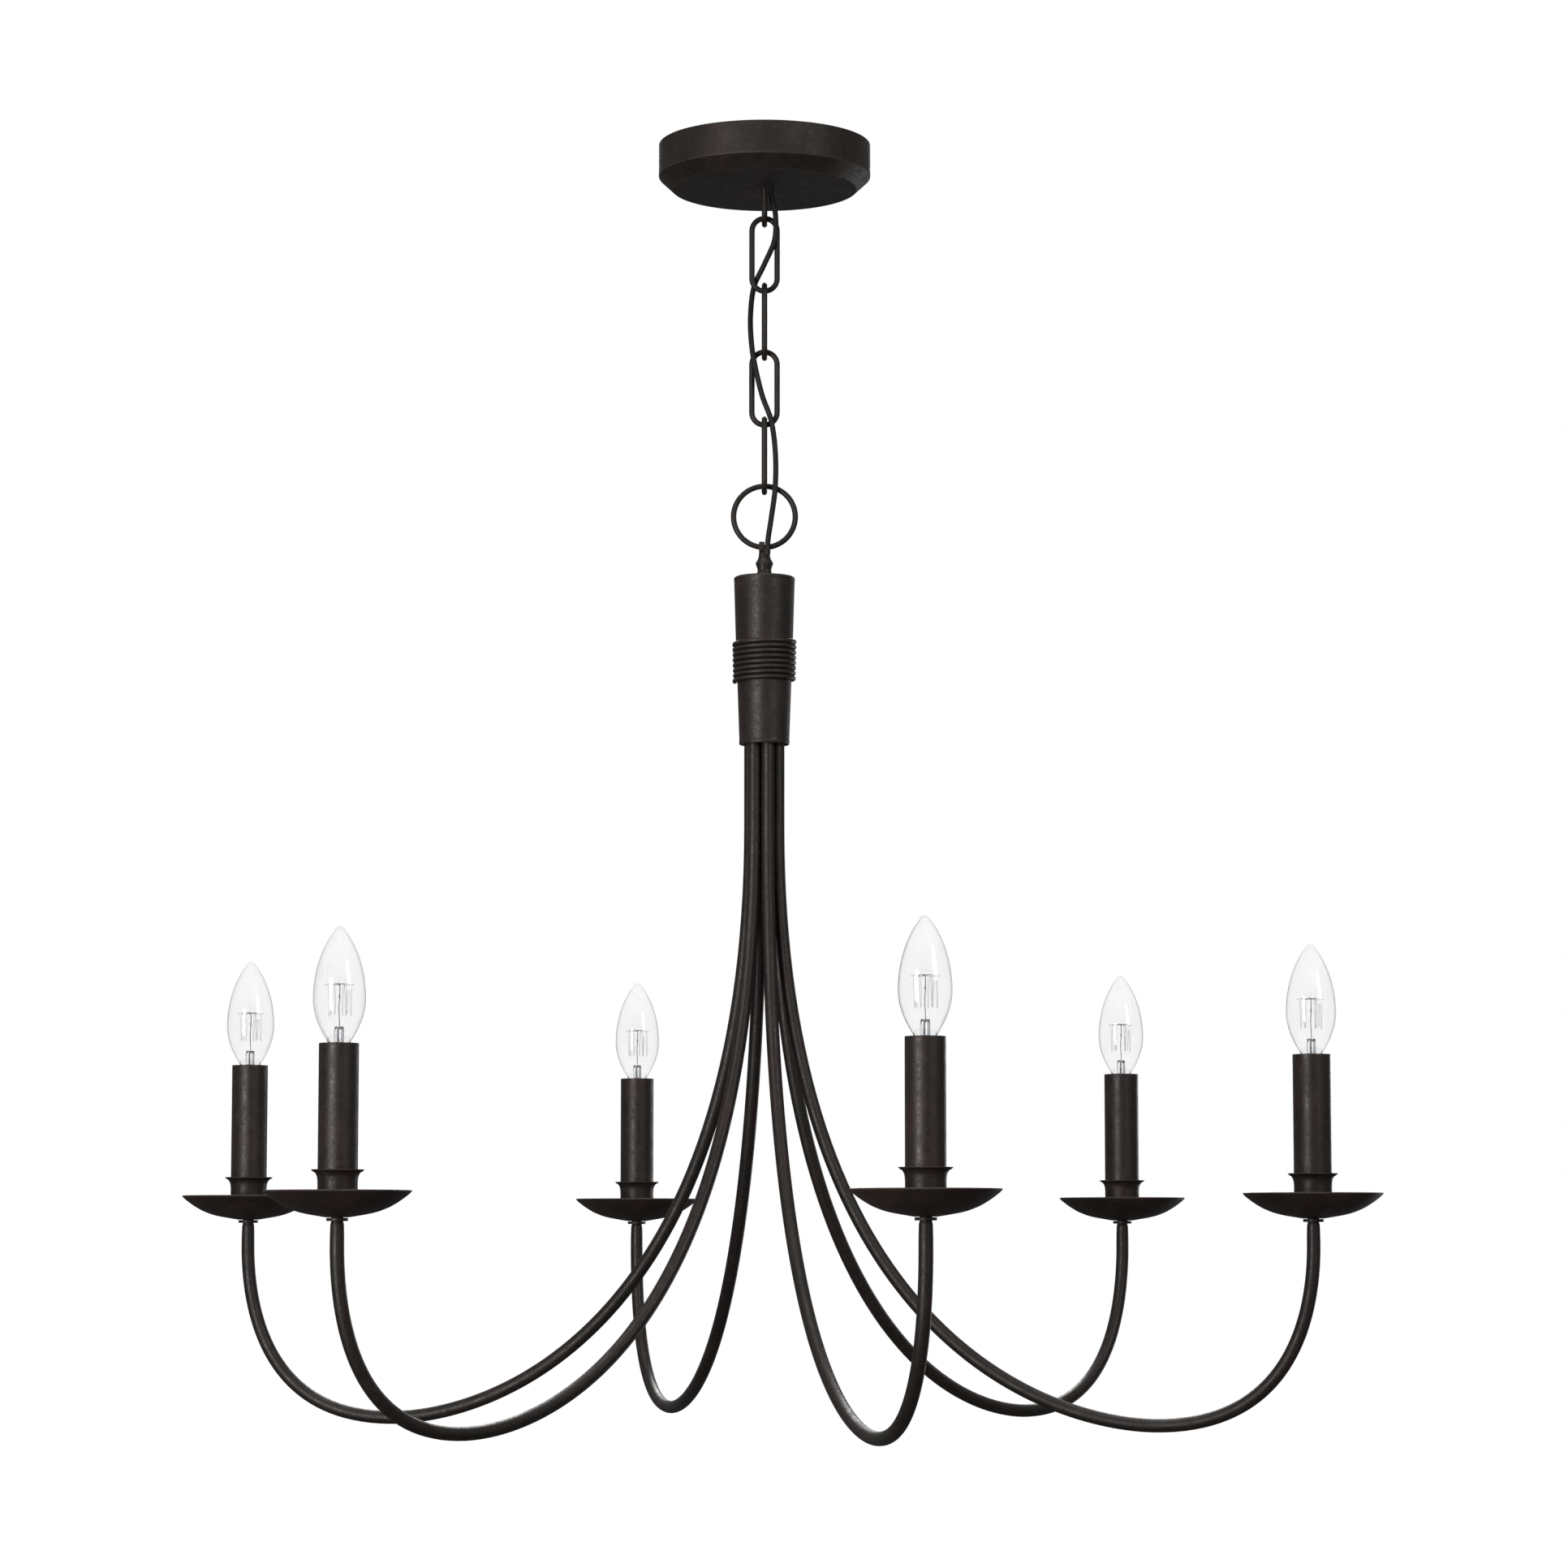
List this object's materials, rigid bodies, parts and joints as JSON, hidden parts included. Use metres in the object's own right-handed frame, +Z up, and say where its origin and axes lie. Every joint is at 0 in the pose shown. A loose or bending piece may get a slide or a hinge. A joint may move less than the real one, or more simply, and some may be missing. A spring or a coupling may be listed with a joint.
{
  "type": "multi arm chandelier",
  "caption": "Candle-style chandelier hung on a short chain: J-shaped arms in a ring, each ending in a drip pan, a candle sleeve and a clear torpedo bulb.",
  "frame": {"origin": "middle of the ceiling face: the top of the mounting strap, level with the canopy's rim", "axes": "+Z up through the canopy, chain and stem; -Y is the front, the side where the supply cord passes the ring; +X to the right seen from the front"},
  "size_m": [0.784, 0.7826, 0.8508],
  "materials": {
    "canopy_finish": "satin dark bronze paint",
    "strap_zinc": "bright zinc plate",
    "screw_finish": "satin dark bronze paint",
    "chain_finish": "satin dark bronze paint",
    "finial_finish": "satin dark bronze paint",
    "stem_finish": "satin dark bronze paint",
    "wrap_finish": "satin dark bronze paint",
    "hub_steel": "plain steel",
    "arm_finish": "satin dark bronze paint",
    "pan_finish": "satin dark bronze paint with a rust-brown tinge",
    "cup_finish": "satin dark bronze paint",
    "sleeve_finish": "satin dark bronze paint",
    "holder_black": "moulded, semi-gloss",
    "base_nickel": "nickel plate",
    "bulb_clear": "clear",
    "cord_jacket": "matt dark jacket"
  },
  "bodies": {
    "canopy_unit": {"canopy": "canopy_finish", "mounting_strap": "strap_zinc", "canopy_screw_left": "screw_finish", "canopy_screw_right": "screw_finish", "canopy_loop": "chain_finish", "supply_cord": "cord_jacket"},
    "link_1": {"chain_link_1": "chain_finish"},
    "link_2": {"chain_link_2": "chain_finish"},
    "link_3": {"chain_link_3": "chain_finish"},
    "link_4": {"chain_link_4": "chain_finish"},
    "ring": {"ring": "chain_finish"},
    "fixture": {"finial": "finial_finish", "stem_body": "stem_finish", "wire_wrap": "wrap_finish", "arm_hub": "hub_steel", "arm_1": "arm_finish", "drip_pan_1": "pan_finish", "candle_cup_1": "cup_finish", "candle_sleeve_1": "sleeve_finish", "lampholder_1": "holder_black", "arm_2": "arm_finish", "drip_pan_2": "pan_finish", "candle_cup_2": "cup_finish", "candle_sleeve_2": "sleeve_finish", "lampholder_2": "holder_black", "arm_3": "arm_finish", "drip_pan_3": "pan_finish", "candle_cup_3": "cup_finish", "candle_sleeve_3": "sleeve_finish", "lampholder_3": "holder_black", "arm_4": "arm_finish", "drip_pan_4": "pan_finish", "candle_cup_4": "cup_finish", "candle_sleeve_4": "sleeve_finish", "lampholder_4": "holder_black", "arm_5": "arm_finish", "drip_pan_5": "pan_finish", "candle_cup_5": "cup_finish", "candle_sleeve_5": "sleeve_finish", "lampholder_5": "holder_black", "arm_6": "arm_finish", "drip_pan_6": "pan_finish", "candle_cup_6": "cup_finish", "candle_sleeve_6": "sleeve_finish", "lampholder_6": "holder_black"},
    "bulb_1": {"bulb_base_1": "base_nickel", "bulb_glass_1": "bulb_clear"},
    "bulb_2": {"bulb_base_2": "base_nickel", "bulb_glass_2": "bulb_clear"},
    "bulb_3": {"bulb_base_3": "base_nickel", "bulb_glass_3": "bulb_clear"},
    "bulb_4": {"bulb_base_4": "base_nickel", "bulb_glass_4": "bulb_clear"},
    "bulb_5": {"bulb_base_5": "base_nickel", "bulb_glass_5": "bulb_clear"},
    "bulb_6": {"bulb_base_6": "base_nickel", "bulb_glass_6": "bulb_clear"}
  },
  "joints": [
    {"name": "link_1_swing", "type": "hinge", "parent": "canopy_unit", "child": "link_1", "pos_m": [0, 0, -0.05365], "axis": [0, 1, 0], "range_deg": [-25, 25], "deforming": ["supply_cord"]},
    {"name": "link_2_swing", "type": "hinge", "parent": "link_1", "child": "link_2", "pos_m": [0, 0, -0.09895], "axis": [1, 0, 0], "range_deg": [-25, 25], "deforming": ["supply_cord"]},
    {"name": "link_3_swing", "type": "hinge", "parent": "link_2", "child": "link_3", "pos_m": [0, 0, -0.14425], "axis": [0, 1, 0], "range_deg": [-25, 25], "deforming": ["supply_cord"]},
    {"name": "link_4_swing", "type": "hinge", "parent": "link_3", "child": "link_4", "pos_m": [0, 0, -0.18955], "axis": [1, 0, 0], "range_deg": [-25, 25], "deforming": ["supply_cord"]},
    {"name": "ring_swing", "type": "hinge", "parent": "link_4", "child": "ring", "pos_m": [0, 0, -0.23485], "axis": [0, 1, 0], "range_deg": [-25, 25], "deforming": ["supply_cord"]},
    {"name": "fixture_swing", "type": "hinge", "parent": "ring", "child": "fixture", "pos_m": [0, 0, -0.27185], "axis": [1, 0, 0], "range_deg": [-25, 25], "deforming": ["supply_cord"]},
    {"name": "bulb_1_out", "type": "slide", "parent": "fixture", "child": "bulb_1", "axis": [0, 0, 1], "range_m": [0, 0.03]},
    {"name": "bulb_2_out", "type": "slide", "parent": "fixture", "child": "bulb_2", "axis": [0, 0, 1], "range_m": [0, 0.03]},
    {"name": "bulb_3_out", "type": "slide", "parent": "fixture", "child": "bulb_3", "axis": [0, 0, 1], "range_m": [0, 0.03]},
    {"name": "bulb_4_out", "type": "slide", "parent": "fixture", "child": "bulb_4", "axis": [0, 0, 1], "range_m": [0, 0.03]},
    {"name": "bulb_5_out", "type": "slide", "parent": "fixture", "child": "bulb_5", "axis": [0, 0, 1], "range_m": [0, 0.03]},
    {"name": "bulb_6_out", "type": "slide", "parent": "fixture", "child": "bulb_6", "axis": [0, 0, 1], "range_m": [0, 0.03]}
  ]
}
